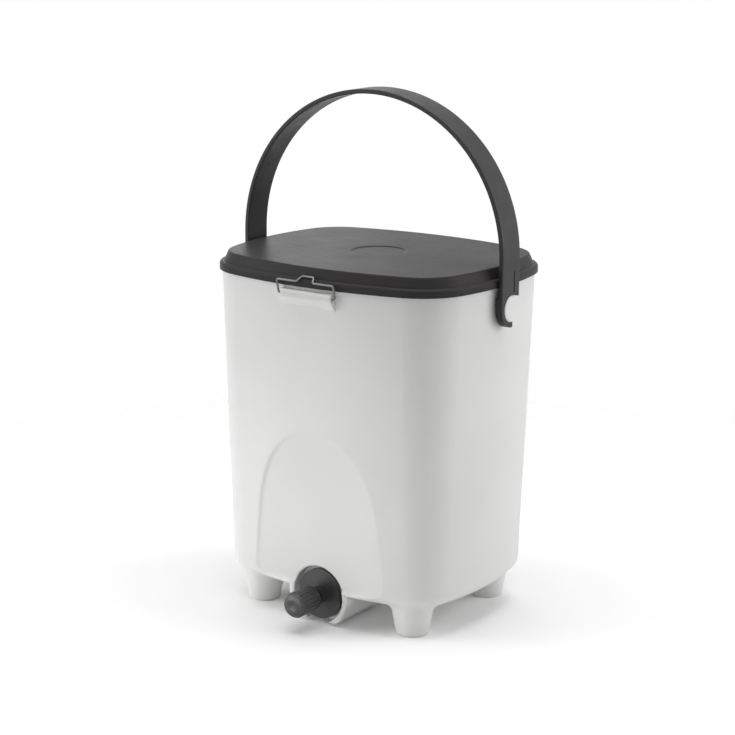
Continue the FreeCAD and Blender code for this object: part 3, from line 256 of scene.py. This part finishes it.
# Soft boxes round the bin, in metres and watts
lights = {
    "leftBox": {"place": (-1.7, -1.25, 0.9), "size": (1.4, 1.6), "watts": 19.2, "aim": (0, 0, 0.22)},
    "lowBox": {"place": (-0.35, -0.75, 0.06), "size": (0.7, 0.1), "watts": 0.19, "aim": (0, 0, 0.05),
               "spread": 55},    # a strip near the floor, with a grid that keeps its light low, for the tap and feet
    "rightBox": {"place": (1.75, 0.95, 0.9), "size": (1.4, 1.6), "watts": 18, "aim": (0, 0, 0.22)},
    "backBox": {"place": (-1.29, 1.53, 0.71), "size": (0.35, 0.6), "watts": 0.9,
                "aim": (0, 0, 0.22)},    # a streak on the lid's left
    "topBox": {"place": (0.0, 0.1, 2.2), "size": (1.8, 1.8), "watts": 27, "aim": (0, 0, 0.22)},
}
for name, box in lights.items():
    light = bpy.data.lights.new(name, "AREA")
    light.shape = "RECTANGLE"
    light.size, light.size_y = box["size"]
    light.energy = box["watts"]
    if "spread" in box:
        light.spread = math.radians(box["spread"])
    lamp = bpy.data.objects.new(name, light)
    lamp.location = box["place"]
    towards = Vector(box["aim"]) - Vector(box["place"])
    lamp.rotation_euler = towards.to_track_quat("-Z", "Y").to_euler()
    bpy.context.scene.collection.objects.link(lamp)


def seenDirectly(owner):  # 1 for the eye, mirrors and glass, 0 for light on its way to the bin
    path = add(owner, "ShaderNodeLightPath")
    mirrored = add(owner, "ShaderNodeMath", {"operation": "MAXIMUM"}, {0: path.outputs["Is Glossy Ray"],
                                                                      1: path.outputs["Is Transmission Ray"]})
    return add(owner, "ShaderNodeMath", {"operation": "MAXIMUM"}, {0: path.outputs["Is Camera Ray"],
                                                                   1: mirrored.outputs[0]}).outputs[0]


paper = {
    "colour": "#f6f6f6", "half": 6.0,    # metres from the middle to each side
    "seen": 1.19, "seenDrift": 0.005,    # how bright the lit paper looks, so that it is white beside the shadow
    "fibreMm": 40, "fibreDetail": 3,     # slow cloudiness of the sheet
    "fadeFrom": 0.45, "fadeTo": 0.95,    # metres from the bin over which the paper turns to the white backdrop
}


def addPaper():  # the sweep under the bin: it takes the shadow, and further out it is the white backdrop
    half = paper["half"]
    mesh = bpy.data.meshes.new("paper")
    mesh.from_pydata([(-half, -half, 0), (half, -half, 0), (half, half, 0), (-half, half, 0)], [], [(0, 1, 2, 3)])
    sheet = bpy.data.objects.new("paper", mesh)
    bpy.context.scene.collection.objects.link(sheet)
    m = emptied(bpy.data.materials.new("studio paper, matt coated"))
    place = add(m, "ShaderNodeTexCoord").outputs["Object"]
    fibre = add(m, "ShaderNodeTexNoise", {"Scale": perMetre(paper["fibreMm"]), "Detail": paper["fibreDetail"]},
                {"Vector": place})
    tone = add(m, "ShaderNodeMapRange", {**noiseSpread, "To Min": paper["seen"] - paper["seenDrift"],
                                         "To Max": paper["seen"] + paper["seenDrift"]},
               {"Value": fibre.outputs["Fac"]})
    far = add(m, "ShaderNodeVectorMath", {"operation": "LENGTH"}, {0: place})
    fade = add(m, "ShaderNodeMapRange", {"interpolation_type": "SMOOTHSTEP", "From Min": paper["fadeFrom"],
                                         "From Max": paper["fadeTo"]}, {"Value": far.outputs["Value"]})
    lit = add(m, "ShaderNodeBsdfDiffuse", {"Color": linear(paper["colour"])})
    bright = add(m, "ShaderNodeBsdfDiffuse", {}, {"Color": tone.outputs["Result"]})
    below = add(m, "ShaderNodeNewGeometry").outputs["Backfacing"]    # from beneath, the eye looks through the paper
    unseen = add(m, "ShaderNodeMath", {"operation": "MAXIMUM"}, {0: fade.outputs["Result"], 1: below})
    clear = add(m, "ShaderNodeBsdfTransparent")
    looks = add(m, "ShaderNodeMixShader", {}, {0: unseen.outputs[0], 1: bright.outputs[0], 2: clear.outputs[0]})
    both = add(m, "ShaderNodeMixShader", {}, {0: seenDirectly(m), 1: lit.outputs[0], 2: looks.outputs[0]})
    add(m, "ShaderNodeOutputMaterial", {}, {"Surface": both.outputs[0]})
    mesh.materials.append(m)


addPaper()

room = {"colour": "#ffffff", "light": 0.17, "seen": 1.0}    # even white light, and the backdrop's own white


def addRoom():
    world = emptied(bpy.data.worlds.new("room"))
    bpy.context.scene.world = world
    sky = add(world, "ShaderNodeBackground", {"Color": linear(room["colour"]), "Strength": room["light"]})
    white = add(world, "ShaderNodeBackground", {"Color": linear(room["colour"]), "Strength": room["seen"]})
    both = add(world, "ShaderNodeMixShader", {}, {0: seenDirectly(world), 1: sky.outputs[0], 2: white.outputs[0]})
    add(world, "ShaderNodeOutputWorld", {}, {"Surface": both.outputs[0]})


addRoom()
print("studio lit with", len(lights), "boxes")

# The photograph's viewpoint, in metres and degrees
view = {"place": (1.0970, -1.6315, 0.7048), "turn": 34.21, "down": 13.47, "roll": 0.42,
        "lensMm": 101.33, "sensorMm": 36, "farthest": 50}


def addCamera():
    camera = bpy.data.cameras.new("camera")
    camera.lens = view["lensMm"]
    camera.sensor_width = view["sensorMm"]
    camera.clip_end = view["farthest"]
    eye = bpy.data.objects.new("camera", camera)
    turn = Matrix.Rotation(math.radians(view["turn"]), 4, "Z")
    tilt = Matrix.Rotation(math.radians(90 - view["down"]), 4, "X")
    roll = Matrix.Rotation(math.radians(view["roll"]), 4, "Z")
    eye.matrix_world = Matrix.Translation(view["place"]) @ turn @ tilt @ roll
    bpy.context.scene.collection.objects.link(eye)
    bpy.context.scene.camera = eye


addCamera()
bpy.context.scene.view_settings.view_transform = "Standard"
print("camera set")
